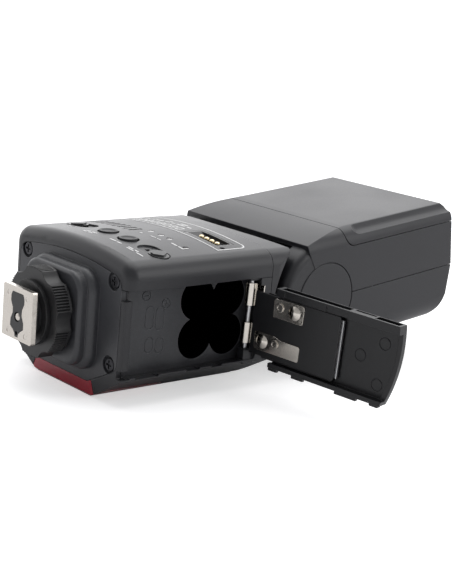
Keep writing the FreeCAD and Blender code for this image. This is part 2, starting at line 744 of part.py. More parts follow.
tray = fuse(box(base_x + 2.4, hinge_x + 2.5, bay_y, bay_y + 1.5, -18.2, 14.6),
            common(cyl("X", base_x + 2.4, -SCREW_Y, SCREW_LOW, 2.5, 8.2),
                   box(0, 60, bay_y, 0, -60, 60)))
block = rounded_bar("XZ", bay_y + 0.5, bay_floor + 2.0,
                    rectangle(cell_x - 16.6, cell_x + 15.9, -17.4, 14.9), 6.0)
tray_screw_hole = cyl("X", base_x, -SCREW_Y, SCREW_LOW, 1.2, 10.4)
floor_pocket = box(cell_x - 12.2, cell_x + 12.2, bay_floor - 0.45, bay_floor,
                   cell_z - 12.2, cell_z + 12.2)
centre = box(cell_x - 6.4, cell_x + 6.4, bay_y - 1, bay_floor, cell_z - 6.4, cell_z + 6.4)
# minus bar, then the two bars of the plus: x0, x1, z0, z1
SIGN_BARS = [(32.6, 34.6, 10.0, 10.4), (41.6, 43.6, 6.4, 6.8), (42.4, 42.8, 5.6, 7.6)]
# x, z, half width, half height of the straight part
CELL_MARKS = [(35.6, 2.0, 1.9, 2.4), (40.2, 1.4, 1.9, 2.4),
              (36.2, -8.0, 1.9, 1.0), (40.8, -8.6, 1.9, 1.0)]
keep(cut(fuse(tray, block), tray_screw_hole, floor_pocket, centre,
         round_mark(33.6, 10.2), round_mark(42.6, 6.6),
         *[box(x0, x1, bay_y - 0.2, bay_y + 0.3, z0, z1) for x0, x1, z0, z1 in SIGN_BARS],
         *[cell_mark(*mark) for mark in CELL_MARKS],
         *[cyl("Y", x, bay_y - 1, z, dim.cell_bore_r, dim.cell_len + 1) for x, z in CELLS],
         *[cyl("Y", x, bay_floor - 1, z, 1.4, 6) for x, z in CELLS], label="battery_box"))


# contacts at the bottom of the bay: two plates with a round boss, and two coil springs
def bay_plate(side):
    x, z = float(cell_x + side * half_pitch), float(cell_z + side * half_pitch)
    corner = Vector(x - 4.5, float(bay_floor) - 0.4, float(cell_z - half_pitch) - 4.0)
    plate = Part.makeBox(9.0, 0.4, 2 * float(half_pitch) + 8.0, corner)
    boss_at = Vector(x, float(bay_floor) - 1.3, z)
    return plate.fuse(Part.makeCylinder(2.2, 1.0, boss_at, Vector(0, 1, 0)))


def bay_spring(side):
    x, z = float(cell_x + side * half_pitch), float(cell_z - side * half_pitch)
    return spring((x, float(bay_floor) - 0.75, z), (0, -1, 0), height=3.45, pitch=1.15,
                  radius=3.3, wire_r=0.34, per_turn=12, taper=0.8)


keep(solid(Part.makeCompound([bay_plate(side) for side in (-1, 1)]), "bay_contact_plates"))
keep(solid(Part.makeCompound([bay_spring(side) for side in (-1, 1)]), "battery_springs"))


# ---------------------------------------------------------------- door, drawn closed
def door_box(near, far, y0, y1, z0, z1):
    """Box between two distances from the hinge to -X; y0 and y1 count from the hinge."""
    return box(hinge_x - far, hinge_x - near, hinge_y + y0, hinge_y + y1, z0, z1)


RIVETS = [(14.0, 6.4), (13.6, -7.6)]      # distance from the hinge to -X, z


def rivet_holes():
    return [cyl("Y", hinge_x - away, hinge_y - 2, z, 0.9, 4) for away, z in RIVETS]


keep(hinge_cyl(-14.8, dim.hinge_pin_r, 29.2, "hinge_pin"))

# hinge leaf: two knuckles with a flat tongue each
knuckles = [hinge_cyl(z, dim.knuckle_r, length) for z, length in ((3.8, 8.4), (-10.4, 7.8))]
tongues = [door_box(0, 5.4, -0.9, -0.4, z0, z1) for z0, z1 in ((3.8, 12.2), (-10.4, -2.6))]
in_door(cut(fuse(*knuckles, *tongues), hinge_cyl(-20, dim.hinge_pin_r + 0.05, 40),
            label="hinge_leaf"))

# inner plate, with guides along both long sides
plate_points = rectangle(hinge_x - dim.plate_len, hinge_x - 2.6, -13.6, 9.9)
door_plate = prism("XZ", hinge_y - 0.85, hinge_y + 0.35, plate_points,
                   rounds=[(0.6, (plate_points[0], plate_points[3]))])
guides = [door_box(8, dim.plate_len - 1, -0.85, -0.15, z0, z1)
          for z0, z1 in ((-14.3, -13.5), (9.8, 10.4))]
sheet_pocket = door_box(5.6, dim.plate_len + 0.1, -0.9, -0.53, -12.6, 8.9)
leaf_pockets = [door_box(2, 5.5, -0.95, -0.35, z0, z1)
                for z0, z1 in ((3.7, 12.3), (-10.5, -2.5))]
in_door(cut(fuse(door_plate, *guides), sheet_pocket, *leaf_pockets, *rivet_holes(),
            label="door_inner_plate"))

# thin sheet with a lip at its free end
in_door(cut(fuse(door_box(5.8, 41.2, -0.85, -0.55, -12.5, 8.8),
                 door_box(40.8, 41.2, -0.85, 0.1, -12.5, 8.8)),
            *rivet_holes(), label="door_slide_sheet"))

# outer cover: drawn slid out, so its free end lies door_out beyond the closed place
end = hinge_x - dim.door_len - dim.door_out
COVER = [(end + 4.1, -16.3, end + 0.05, 1.5), (end + 0.5, 13.4),
         (hinge_x - 12.5, 13.4), (hinge_x - 12.5, -16.3)]
cover_flat = prism("XZ", -half_w, hinge_y - 1.6, COVER)
rim_out = prism("XZ", -half_w, hinge_y + 1.7, COVER)
rim_in = prism("XZ", -half_w - 1, hinge_y + 4, [
    (end + 5.7, -14.7, end + 1.75, 0.8), (end + 2.1, 10.5),
    (hinge_x - 10.0, 10.5), (hinge_x - 10.0, -14.7)])
end_low = box(end - 1, end + 7.2, hinge_y - 0.65, hinge_y + 4, -14.65, 10.45)
end_foot = box(end + 4.8, end + 8.2, hinge_y - 0.6, hinge_y + 1.5, -17.1, -16.0)
tabs = [door_box(near, far, 0.1, 1.5, -17.4, -16.0) for near, far in TABS]
# near and far end from the hinge, inner y
RAIL_SLOTS = [(14.0, 43.0, -32.6), (44.4, 52.8, -34.4), (53.6, 63.3, -32.6)]
rail_slots = [box(hinge_x - far, hinge_x - near, -35.75, y1, 11.5, 14)
              for near, far, y1 in RAIL_SLOTS]
rail_steps = [door_box(near, far, 1.2, 3, 10.0, 12.6)
              for near, far in ((16.0, 24.0), (34.0, 43.2))]
ring_marks = [cut(cyl("Y", hinge_x - away, hinge_y - 1.85, z, 2.3, 0.6),
                  cyl("Y", hinge_x - away, hinge_y - 2.0, z, 2.05, 1))
              for away, z in ((57.6, 5.0), (48.6, -1.6), (56.8, -10.2))]
guide_gaps = [door_box(6, 47, -0.95, -0.05, z0, z1) for z0, z1 in ((-15.2, -14.4), (10.2, 10.6))]
in_door(cut(fuse(cover_flat, cut(rim_out, rim_in, end_low), end_foot, *tabs),
            *rail_slots, *rail_steps, *ring_marks, *guide_gaps, label="door_cover"))


# nickel strips that bridge the cells, each with a domed bump, held by rivets
def dome(away, z):
    centre = Vector(float(hinge_x) - away, float(hinge_y) + 0.5, z)
    ball = Part.makeSphere(4.2, centre - Vector(0, 3.1, 0))
    return solid(ball.common(Part.makeBox(12, 5, 12, centre - Vector(6, 0, 6))))


def rivet(away, z):
    x, y = float(hinge_x) - away, float(hinge_y)
    shank, head, dip = [
        Part.makeCylinder(radius, length, Vector(x, y + start, z), Vector(0, 1, 0))
        for radius, length, start in ((0.85, 1.6, -0.8), (1.7, 0.45, 0.72), (0.8, 0.4, 0.95))]
    return shank.fuse(head).cut(dip)


strip_lo, strip_hi = hinge_y + 0.36, hinge_y + 0.72
short_strip = rounded_bar("XZ", strip_lo, strip_hi,
                          rectangle(hinge_x - 24.6, hinge_x - 11.4, 2.4, 9.4), 0.8)
long_points = [
    (hinge_x - 24.6, -11.4), (hinge_x - 4.6, -11.4), (hinge_x - 4.6, -4.6),
    (hinge_x - 13.0, -4.6), (hinge_x - 16.4, -5.6), (hinge_x - 24.6, -5.6)]
long_strip = prism("XZ", strip_lo, strip_hi, long_points,
                   rounds=[(0.7, [long_points[k] for k in (0, 1, 2, 5)])])
bumps = fuse(dome(20.6, 6.0), dome(8.0, -8.0))
in_door(cut(fuse(short_strip, long_strip, bumps), *rivet_holes(), label="contact_strips"))
in_door(solid(Part.makeCompound([rivet(away, z) for away, z in RIVETS]), "strip_rivets"))


# ---------------------------------------------------------------- controls
def crown_z(y):
    """Height of the crowned top of the casing."""
    return 26.28 - 0.00268 * y * y


def key(label, y, top):
    """Round push button with a flange below and a dished top."""
    cap = prism("XY", 20.6, top, (row_x, y, dim.button_r))
    dish = cone("Z", row_x, y, top - 0.35, 2.1, 2.9, 0.36)
    keep(cut(fuse(cap, cyl("Z", row_x, y, 19.8, 3.9, 0.9)), dish, label=label))


def knob(label, y, slope):
    """Slide knob: oblong base, pointed ridge, and a tongue down through the slot."""
    base = common(prism("XY", 20, 30, oblong(row_x, y - 1.4, y + 1.4, 3.3, 2.6)),
                  slab(y - 6, y + 6, slope, 0.12, 0.75))
    tips = [(row_x, y - 3.0), (row_x, y + 3.0)]
    ridge = prism("XY", 20, 30, [
        (row_x - 2.9, y - 0.9), tips[0], (row_x + 2.9, y - 0.9),
        (row_x + 2.9, y + 0.9), tips[1], (row_x - 2.9, y + 0.9)], rounds=[(0.5, tips)])
    tongue = box(row_x - 0.8, row_x + 0.8, y - 1.2, y + 1.2, 19.6, slope(y) + 0.4)
    keep(fuse(base, common(ridge, slab(y - 6, y + 6, slope, 0.12, 1.35)), tongue, label=label))


key("power_key", KEY_YS[0], 26.8)
key("test_key", KEY_YS[1], 26.55)
knob("slave_switch_knob", 21.0, far_slope)
knob("main_switch_knob", -27.6, near_slope)
keep(fuse(*[box(row_x - 3.4, row_x + 3.4, y0, y1, 16.4, 19.4)
            for y0, y1 in ((13.6, 24.2), (-29.8, -19.2))], label="slide_switch_bodies"))
keep(fuse(*[cyl("Z", row_x, y, 16.3, 3.2, 1.2) for y in KEY_YS],
          *[cyl("Z", row_x, y, 17.5, 1.6, 1.4) for y in KEY_YS], label="tact_switches"))

# x, y of the low corner, then the sizes along X and Y
CHIPS = [(60, 6, 6, 6), (60, -22, 6, 6), (43.2, -14, 3, 8), (66, 14, 7, 7), (57, -8, 7, 5)]
BOARD_TOP = 16.3      # where the lamps start, just above the control board
keep(fuse(box(32.4, 77.0, -28.0, 28.0, 14.95, 16.2),
          *[box(x, x + length, y, y + width, 16.1, 17.0) for x, y, length, width in CHIPS],
          label="control_board"))
keep(fuse(*[box(47.5, 53.3, y - 0.65, y + 0.65, BOARD_TOP, crown_z(y) - 0.15)
            for y in BAR_YS], label="power_lamps"))
keep(fuse(*[cyl("Z", x, y, BOARD_TOP, 1.2, crown_z(y) - 0.05 - BOARD_TOP)
            for x, y in LAMPS], label="status_lamps"))

# ---------------------------------------------------------------- receiver port
PIN_X, PIN_YS, PIN_BOTTOM = 70.2, (-12.6, -15.6, -18.6, -21.6), 17.0
port = common(box(66.5, 74.9, -25.5, -6.5, 20.0, 30.0), outer)
port_dip = common(
    rounded_bar("XY", 20, 31, rectangle(67.3, 74.1, -24.7, -7.3), 0.9),
    prism("YZ", 67, 75, [(-25, 23.55), (-11.0, 24.75), (-6.8, 26.5), (-6.8, 30), (-25, 30)]))
keep(cut(port, port_dip, *[cyl("Z", PIN_X, y, 18, 1.1, 10) for y in PIN_YS],
         label="receiver_port"))


def contact_pin(y):
    """Pin with a rounded tip just proud of the crown, a 188.95 arc about z = -162.65."""
    tip = round(math.sqrt(188.95 ** 2 - y * y) - 162.65 + 0.15, 4)
    pin = Part.makeCylinder(1.0, tip - PIN_BOTTOM, Vector(PIN_X, y, PIN_BOTTOM))
    return round_top(pin, 0.7, tip)


keep(solid(Part.makeCompound([contact_pin(y) for y in PIN_YS]), "receiver_pins"))

# ---------------------------------------------------------------- inside the body
keep(box(base_x + 5.6, base_x + 7.0, -23, 23, -14.6, 11.0, "main_circuit_board"))
keep(fillet(cyl("Y", 39.2, -25.0, -6.6, 8.4, 40.0), 1.0, is_circle, label="flash_capacitor"))
keep(fuse(box(33.0, 45.6, 18.6, 28.6, -14.0, -1.0), box(34.6, 44.0, 17.2, 30.0, -11.6, -3.4),
          label="step_up_transformer"))
keep(box(32.4, 46.0, -14.0, 10.0, 5.0, 12.0, "trigger_capacitor_pack"))
jack = fuse(cyl("Y", SYNC_X, 30.6, SYNC_Z, 4.4, 5.6), box(31.8, 40.2, 21.0, 33.6, -0.6, 6.6))
keep(cut(jack, cyl("Y", SYNC_X, 22.0, SYNC_Z, 1.78, 16), label="sync_socket"))
keep(cyl("Z", 58.2, 0, -25.6, 3.0, 4.0, "slave_sensor"))

# ---------------------------------------------------------------- turning neck
neck_x, tilt_x, tilt_z = dim.neck_x, dim.tilt_x, dim.tilt_z
# collar: the casing section, tapered towards the head in plan and side view
collar = common(
    six_sided(neck_x, 98, section(0.15), 6.4, 5.0, 2.6),
    prism("XY", -40, 40, [
        (neck_x - 1, -40), (neck_x + 1.6, -40), (neck_x + 1.6, -half_w, 92.5, -35.3),
        (98.2, -32.4), (98.2, 32.4, 92.5, 35.3), (neck_x + 1.6, half_w),
        (neck_x + 1.6, 40), (neck_x - 1, 40)]),
    prism("XZ", -40, 40, [
        (neck_x - 1, 28), (neck_x + 1.6, 28), (neck_x + 1.6, 26.3, 92.0, 25.2),
        (98.2, 22.6), (98.2, 3.06), (dim.neck_end, 3.06),
        (dim.neck_end, -24.4, neck_x + 4.4, -26.9), (neck_x + 1.6, -28.0),
        (neck_x + 1.6, -30), (neck_x - 1, -30)]))
web = prism("XZ", -26.6, 26.6, [
    (neck_x + 1.5, 22.4), (neck_x + 5.5, 22.2), (97.6, 17.6),
    (104, 14.0), (104, -7.6), (neck_x + 1.5, -7.6)])
barrel = pivot_cyl(-dim.barrel_half, dim.barrel_half, dim.barrel_r)
neck_bore = pivot_cyl(-40, 40, dim.axle_r + 0.05)
neck_hollow = common(pivot_cyl(-22, 22, 18.4), box(80, 160, -24, 24, -30, 30))
neck_duct = box(neck_x - 2, 112, -9, 9, -6.0, 9.0)
swivel_seat = cyl("X", neck_x - 1, 0, 0, 16.0, 4.2)
swivel_way = cyl("X", neck_x - 1, 0, 0, 9.0, 7.0)
end_grooves = [cut(pivot_cyl(y, y + 1.0, 19.9), pivot_cyl(y - 1, y + 2, 19.2))
               for y in (-27.5, 26.5)]
neck = cut(fuse(collar, web, barrel), neck_bore, neck_hollow, neck_duct,
           swivel_seat, swivel_way, *outboard(dim.cheek_in, 23.8), *outboard(30.8, 27.0),
           *end_grooves)
keep(common(neck, box(60, 160, -50, 50, tilt_z + 0.06, 60), label="neck_back_half"))
keep(common(neck, box(60, 160, -50, 50, -60, tilt_z - 0.06), label="neck_front_half"))

keep(cut(fuse(cyl("X", neck_x + 0.05, 0, 0, 15.95, 3.1),
              cyl("X", body_end - 4.6, 0, 0, dim.swivel_r, 5.2)),
         cyl("X", 70, 0, 0, 9.0, 30), label="swivel_tube"))
keep(cut(cyl("X", body_end - 3.9, 0, 0, 17.2, 1.5), cyl("X", 70, 0, 0, dim.swivel_r, 30),
         label="swivel_retainer"))
# hollow axle, with a window on the side of the neck
keep(cut(pivot_cyl(-33.9, 33.9, dim.axle_r), pivot_cyl(-40, 40, 3.4),
         common(pivot_cyl(-8, 8, 7), box(100, tilt_x, -8, 8, -10, 16)), label="tilt_axle"))

# ---------------------------------------------------------------- head shell, drawn level
front, head_top, head_bottom = dim.head_front, dim.head_top, dim.head_bottom
cheek_in, cheek_out = dim.cheek_in, dim.cheek_out


def head_prism(lo, hi, gap):
    """Bar of the head section between lo and hi, moved inwards by gap."""
    width = dim.head_half - gap
    points = rectangle(-width, width, head_bottom + gap, head_top - gap)
    return prism("YZ", lo, hi, points, rounds=[
        (max(6.4 - gap * 0.7, 3.0), points[2:4]), (max(9.4 - gap, 4.0), points[0:2])])


head_bar = head_prism(tilt_x - 24, front + 1.2, 0)
head_side = prism("XZ", -cheek_out - 0.2, cheek_out + 0.2, [
    (dim.hood_x, 22.6), (dim.hood_x - 0.2, dim.hood_z, 118.0, 27.55),
    (134.0, head_top + 0.01), (front - 1.4, head_top + 0.01), (front, head_top - 1.4),
    (front + 1.0, 3.4), (front + 0.5, 0.4), (front - 1.5, -9.2), (front - 4.7, -14.8),
    (front - 9.0, head_bottom), (tilt_x, head_bottom), (tilt_x, 3.0)])
cheeks = fillet(pivot_cyl(-cheek_out, cheek_out, dim.cheek_r), 3.4, is_circle)
# a flute along each top edge, with a ball-shaped end
FLUTE_X, FLUTE_Y, FLUTE_Z, FLUTE_R = 134, 36.18, 30.74, 5.55
flutes = []
for y in (-FLUTE_Y, FLUTE_Y):
    flutes += [cyl("X", FLUTE_X, y, FLUTE_Z, FLUTE_R, 70), sphere(FLUTE_X, y, FLUTE_Z, FLUTE_R)]
head_solid = cut(common(head_bar, fuse(head_side, cheeks)), *flutes)

head_hollow = head_prism(137.0, front - 7.0, dim.head_wall)
head_mouth = head_prism(front - 7.5, front + 2, 3.0)
# room for the neck barrel and, below, the path of the neck web
barrel_room = pivot_cyl(-cheek_in, cheek_in, dim.barrel_r + 0.45)
rear_room = box(80, 104.6, -cheek_in, cheek_in, -40, 22.2)
top_room = prism("XZ", -cheek_in, cheek_in, [
    (90, 23.6), (dim.hood_x + 0.2, 23.6), (118, 25.4), (134, 26.2), (139, 26.2),
    (139, -17.6), (tilt_x, -17.6), (tilt_x, 3), (90, 3)])
slot_room = prism("XZ", -cheek_in, cheek_in, [
    (80, -40), (tilt_x + 17.0, -40), (tilt_x + 17.0, -17.0), (tilt_x, 3), (80, 3)])
head_shell = cut(head_solid, head_hollow, head_mouth, barrel_room, rear_room, top_room,
                 slot_room, pivot_cyl(-50, 50, dim.axle_r), *outboard(34.2, dim.cap_r + 0.12))

# ---------------------------------------------------------------- head covers
HEAD_SCREWS = [(x, y) for x in (140.5, 174.0) for y in (-25.0, 25.0)]
half_seam = dim.seam / 2


def lid_prism(x, z):
    """Everything beyond x and above z, with a rounded lower corner."""
    return prism("XZ", -60, 60, [
        (x, 60), (x, z + 4.4, x + ARC_INSET, z + ARC_INSET), (x + 4.4, z),
        (200, z), (200, 60)])


in_head(common(head_shell, lid_prism(dim.lid_x + half_seam, dim.lid_z + half_seam),
               label="head_top_cover"))
in_head(cut(common(head_shell, box(80, 200, -60, 60, tilt_z + half_seam, 60)),
            lid_prism(dim.lid_x - half_seam, dim.lid_z - half_seam), label="head_frame"))

lower_shell = common(head_shell, box(80, 200, -60, 60, -60, tilt_z - half_seam))
posts = [cyl("Z", x, y, head_bottom + 1.0, 2.8, 7.0) for x, y in HEAD_SCREWS]
in_head(cut(fuse(lower_shell, *posts),
            *[cyl("Z", x, y, head_bottom - 1, 1.15, 8.6) for x, y in HEAD_SCREWS],
            *[cyl("Z", x, y, head_bottom - 1, 2.6, 2.4) for x, y in HEAD_SCREWS],
            label="head_lower_cover"))

CAP_FACE = 36.5      # outer face of each pivot cap, from the middle plane
caps = fuse(pivot_cyl(-CAP_FACE, -34.3, dim.cap_r), pivot_cyl(34.3, CAP_FACE, dim.cap_r))
in_head(fillet(
    caps, 0.5,
    lambda edge: is_circle(edge) and abs(abs(edge.BoundBox.YMin) - CAP_FACE) < 1e-3,
    label="pivot_caps"))

# ---------------------------------------------------------------- lamp house
LAMP_Z = 4.3
tube_x = front - 29.5
in_head(cut(head_prism(front - 7.1, front - 5.4, 3.15), head_prism(front - 8, front + 1, 5.2),
            label="lens_bezel"))
lens_grooves = [box(front - 6.1, front - 5.5, -31, 31, -13.4 + 2.6 * k, -12.1 + 2.6 * k)
                for k in range(14)]
in_head(cut(head_prism(front - 7.0, front - 5.7, 5.35), *lens_grooves, label="front_lens"))
in_head(cut(head_prism(front - 9.0, front - 7.2, 2.2),
            prism("YZ", front - 12, front, rectangle(-27.0, 27.0, -11.0, 19.6)),
            label="reflector_frame"))

MOUTH_HALF_W, MOUTH_HALF_H = 26.4, 14.8


def bowl(gap):
    """Trough in four sloping walls, from behind the tube to the mouth, grown by gap."""
    def frame(x, half_w, half_h):
        low, high = LAMP_Z - half_h, LAMP_Z + half_h
        points = [Vector(x, -half_w, low), Vector(x, half_w, low),
                  Vector(x, half_w, high), Vector(x, -half_w, high)]
        return Part.makePolygon(points + points[:1])

    x0 = float(front) - 34.0 - gap
    return Part.makeLoft([
        frame(x0, 22.0 + gap, 5.0 + gap), frame(x0 + 12, 24.6 + gap, 11.0 + gap),
        frame(float(front) - 9.2, MOUTH_HALF_W + gap, MOUTH_HALF_H + gap)], True, True)


mouth = Part.makeBox(3, 2 * MOUTH_HALF_W, 2 * MOUTH_HALF_H,
                     Vector(float(front) - 9.6, -MOUTH_HALF_W, LAMP_Z - MOUTH_HALF_H))
reflector = bowl(0.6).cut(bowl(0.0).fuse(mouth))
for y in (-30.0, 16.0):
    hole_at = Vector(float(tube_x), y, LAMP_Z)
    reflector = reflector.cut(Part.makeCylinder(2.3, 14, hole_at, Vector(0, 1, 0)))
in_head(solid(reflector, "reflector"))

in_head(cut(cyl("Y", tube_x, -29.0, LAMP_Z, 2.0, 58.0), cyl("Y", tube_x, -26.0, LAMP_Z, 1.3, 52.0),
            label="xenon_tube"))
in_head(fuse(*[cut(cyl("Y", tube_x, boot_y, LAMP_Z, 3.4, 5.6),
                   cyl("Y", tube_x, bore_y, LAMP_Z, 2.05, 10))
               for boot_y, bore_y in ((-31.5, -29.0), (25.9, 19.0))], label="tube_boots"))
in_head(fuse(cyl("Y", 147.0, -20, -9.0, 4.0, 14), box(141.5, 152.5, -21.5, -4.5, -14.6, -13.2),
             label="trigger_coil"))
in_head(cut(box(141.0, 150.0, -20, 20, 18.6, 19.8),
            *[cyl("Z", 145.5, y, 17, 1.2, 5) for y in (-16, 16)], label="head_circuit_board"))
in_head(solid(Part.makeCompound([
    screw((x, y, float(head_bottom) + 1.4), (0, 0, -1),
          head_r=2.4, head_h=1.0, shank_r=1.1, length=6.0)
    for x, y in HEAD_SCREWS]), "head_screws"))

# ---------------------------------------------------------------- leads, contact spring
# leads lie in the duct of the neck; the spring sits behind the centre contact
keep(fuse(*[cyl("X", neck_x + 1.0, y, -5.2, 0.8, 20.0) for y in (-6, -3, 0, 3, 6)],
          label="neck_leads"))
keep(solid(Part.makeCompound([
    spring((8.98, 0, CONTACT_Z), (1, 0, 0), height=1.2, pitch=0.42,
           radius=1.25, wire_r=0.14, per_turn=10)]), "contact_spring"))

# ---------------------------------------------------------------- export
doc.recompute()
faulty = [(obj.Name, obj.Label, obj.State) for obj in doc.Objects
          if "Invalid" in obj.State or "Error" in obj.State]
faulty += [(obj.Label, "shape") for obj in PARTS
           if obj.Shape.isNull() or not obj.Shape.isValid() or obj.Shape.Volume <= 0]
if faulty:
    raise RuntimeError("faulty objects: %s" % faulty)
for obj in PARTS:
    obj.Shape.exportStep("parts/%s.step" % obj.Label)
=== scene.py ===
"""A camera flash unit: body, neck and head, resting just above a paper floor.

Metres, Z up. The body's top faces +Z and is crowned across Y; printed marks lie on it.
The bay opens towards -Y. Sizes below are in millimetres unless noted.
"""
import json
import math
import bpy
import bmesh
from mathutils import Vector, Matrix


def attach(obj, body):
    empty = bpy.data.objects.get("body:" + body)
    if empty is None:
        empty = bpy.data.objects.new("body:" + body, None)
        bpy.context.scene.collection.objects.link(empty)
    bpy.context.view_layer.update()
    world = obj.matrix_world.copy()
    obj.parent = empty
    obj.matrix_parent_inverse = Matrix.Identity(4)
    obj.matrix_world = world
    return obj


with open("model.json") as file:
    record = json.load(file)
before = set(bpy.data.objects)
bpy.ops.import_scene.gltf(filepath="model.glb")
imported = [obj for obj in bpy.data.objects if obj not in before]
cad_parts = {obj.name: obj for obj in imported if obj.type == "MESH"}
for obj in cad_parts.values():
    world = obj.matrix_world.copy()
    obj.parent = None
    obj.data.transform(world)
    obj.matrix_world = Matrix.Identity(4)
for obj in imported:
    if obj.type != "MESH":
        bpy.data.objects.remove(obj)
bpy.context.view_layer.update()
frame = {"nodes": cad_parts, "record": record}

MM = 0.001
PER_METRE = 1000.0              # texture scale of a 1 mm cell
MIDTONES = (0.3, 0.7)           # the range most noise values fall in

# Crowned top: an arc about an axis parallel to X
CROWN_RADIUS = 188.95
CROWN_AXIS_Z = -162.65

BAY_SHADE_Y = -28.5              # painted shade darkens the bay from here towards +Y
BAY_FADE = 0.3

scene = bpy.context.scene
scene.view_settings.view_transform = "Standard"
scene.view_settings.look = "None"


# ------------------------------------------------------------------ shader nodes
def feed(tree, node, inputs):
    """Give node inputs (by name or index) numbers, vectors, RGB colours or sockets to link."""
    for key, value in inputs.items():
        socket = node.inputs[key]
        if isinstance(value, bpy.types.NodeSocket):
            tree.links.new(value, socket)
        elif socket.type == "RGBA":
            socket.default_value = (*value, 1)
        else:
            socket.default_value = value


def add_node(tree, kind, inputs=None, **settings):
    node = tree.nodes.new("ShaderNode" + kind)
    for key, value in settings.items():
        setattr(node, key, value)
    feed(tree, node, inputs or {})
    return node


def new_material(name):
    material = bpy.data.materials.new(name)
    material.use_nodes = True
    tree = material.node_tree
    tree.nodes.clear()
    output = add_node(tree, "OutputMaterial")
    shader = add_node(tree, "BsdfPrincipled")
    feed(tree, output, {"Surface": shader.outputs["BSDF"]})
    return material, tree, shader


def combine(tree, operation, first, second):
    return add_node(tree, "Math", {0: first, 1: second}, operation=operation).outputs[0]


def remap(tree, value, source=MIDTONES, target=(0.0, 1.0)):
    return add_node(tree, "MapRange", {
        "Value": value,
        "From Min": source[0], "From Max": source[1],
        "To Min": target[0], "To Max": target[1],
    }).outputs["Result"]


def mix(tree, factor, first, second):
    """Blend two colours; the Mix node's colour sockets can only be told apart by index."""
    node = add_node(tree, "Mix", data_type="RGBA")
    feed(tree, node, {0: factor, 6: first, 7: second})
    return node.outputs[2]


def object_coords(tree, stretch=(1, 1, 1)):
    coords = add_node(tree, "TexCoord").outputs["Object"]
    return add_node(tree, "Mapping", {"Vector": coords, "Scale": stretch}).outputs["Vector"]


def noise(tree, coords, scale, detail=3.0, rough=0.5):
    return add_node(tree, "TexNoise", {
        "Vector": coords, "Scale": scale, "Detail": detail, "Roughness": rough,
    }).outputs["Fac"]


def rounded_normal(tree, radius):
    """The normal with edges rounded to a radius in mm."""
    return add_node(tree, "Bevel", {"Radius": radius * MM}, samples=6).outputs["Normal"]


def edge_mask(tree, normal):
    """0 on flats, towards 1 where the rounded normal leaves the true one."""
    true_normal = add_node(tree, "NewGeometry").outputs["Normal"]
    dot = add_node(tree, "VectorMath", {0: normal, 1: true_normal}, operation="DOT_PRODUCT")
    return remap(tree, dot.outputs["Value"], source=(1.0, 0.8))


def add_bump(tree, shader, height, depth, strength=1.0, normal=None):
    """Relief of a depth in mm, on top of a normal if one is given."""
    bump = add_node(tree, "Bump", {
        "Height": height, "Strength": strength, "Distance": depth * MM})
    if normal:
        feed(tree, bump, {"Normal": normal})
    feed(tree, shader, {"Normal": bump.outputs["Normal"]})


def scaled(color, gain, lift=0.0):
    return tuple(channel * gain + lift for channel in color)


# ------------------------------------------------------------------ materials
def plastic(name, color, rough, grain, depth, edge, edge_rub_and_highlight, coat=0.0):
    """Moulded plastic: fine grain, slow tone drift, lighter edges (rubbed edges and painted edge
    highlight).
    """
    variation = 0.16            # tone drift either side of the colour
    relief_share = 0.6          # height given to each of the two grain patterns
    material, tree, shader = new_material(name)
    coords = object_coords(tree)
    slow = noise(tree, coords, scale=34.0, detail=4.0)
    fine = noise(tree, coords, scale=PER_METRE / grain, detail=2.0, rough=0.6)
    cells = add_node(tree, "TexVoronoi", {"Vector": coords, "Scale": PER_METRE / (grain * 1.3)})
    normal = rounded_normal(tree, edge)

    base = mix(tree, remap(tree, slow), scaled(color, 1 - variation), scaled(color, 1 + variation))
    specks = remap(tree, fine, source=(0.45, 0.75), target=(0.0, 0.5))
    base = mix(tree, specks, base, scaled(color, gain=1.5, lift=0.004))
    # Lighter edges: part rubbed plastic, part painted highlight along the rims
    rubbed_and_highlit = combine(tree, "MULTIPLY", edge_mask(tree, normal), edge_rub_and_highlight)
    base = mix(tree, rubbed_and_highlit, base, scaled(color, gain=2.2, lift=0.02))
    roughness = combine(
        tree, "ADD",
        remap(tree, slow, target=(-0.03, 0.03)),
        remap(tree, fine, target=(rough - 0.02, rough + 0.04)))
    feed(tree, shader, {"Base Color": base, "Roughness": roughness})
    if coat:
        feed(tree, shader, {"Coat Weight": coat, "Coat Roughness": 0.12})
    height = combine(
        tree, "ADD",
        combine(tree, "MULTIPLY", fine, relief_share),
        combine(tree, "MULTIPLY", cells.outputs["Distance"], relief_share))
    add_bump(tree, shader, height, depth, strength=0.35, normal=normal)
    return material


def metal(name, color, rough, stretch, scale, depth, edge, tarnish, tarnish_color=None):
    """Plated or plain metal: polish lines, faint tarnish, rounded edges."""
    material, tree, shader = new_material(name)
    lines = noise(tree, object_coords(tree, stretch), scale, rough=0.6)
    blotch = noise(tree, object_coords(tree), scale=160.0, detail=4.0, rough=0.6)
    normal = rounded_normal(tree, edge)

    dull = remap(tree, blotch, source=(0.42, 0.75), target=(0.0, tarnish))
    base = mix(tree, dull, color, tarnish_color or scaled(color, gain=0.62))
    streaks = remap(tree, lines, source=(0.35, 0.7), target=(0.0, 0.22))
    base = mix(tree, streaks, base, scaled(color, gain=0.8))
    roughness = combine(
        tree, "ADD",
        remap(tree, lines, target=(rough - 0.05, rough + 0.07)),
        remap(tree, blotch, target=(-0.02, 0.05)))
    feed(tree, shader, {"Metallic": 1.0, "Base Color": base, "Roughness": roughness})
    add_bump(tree, shader, lines, depth, strength=0.4, normal=normal)
    return material


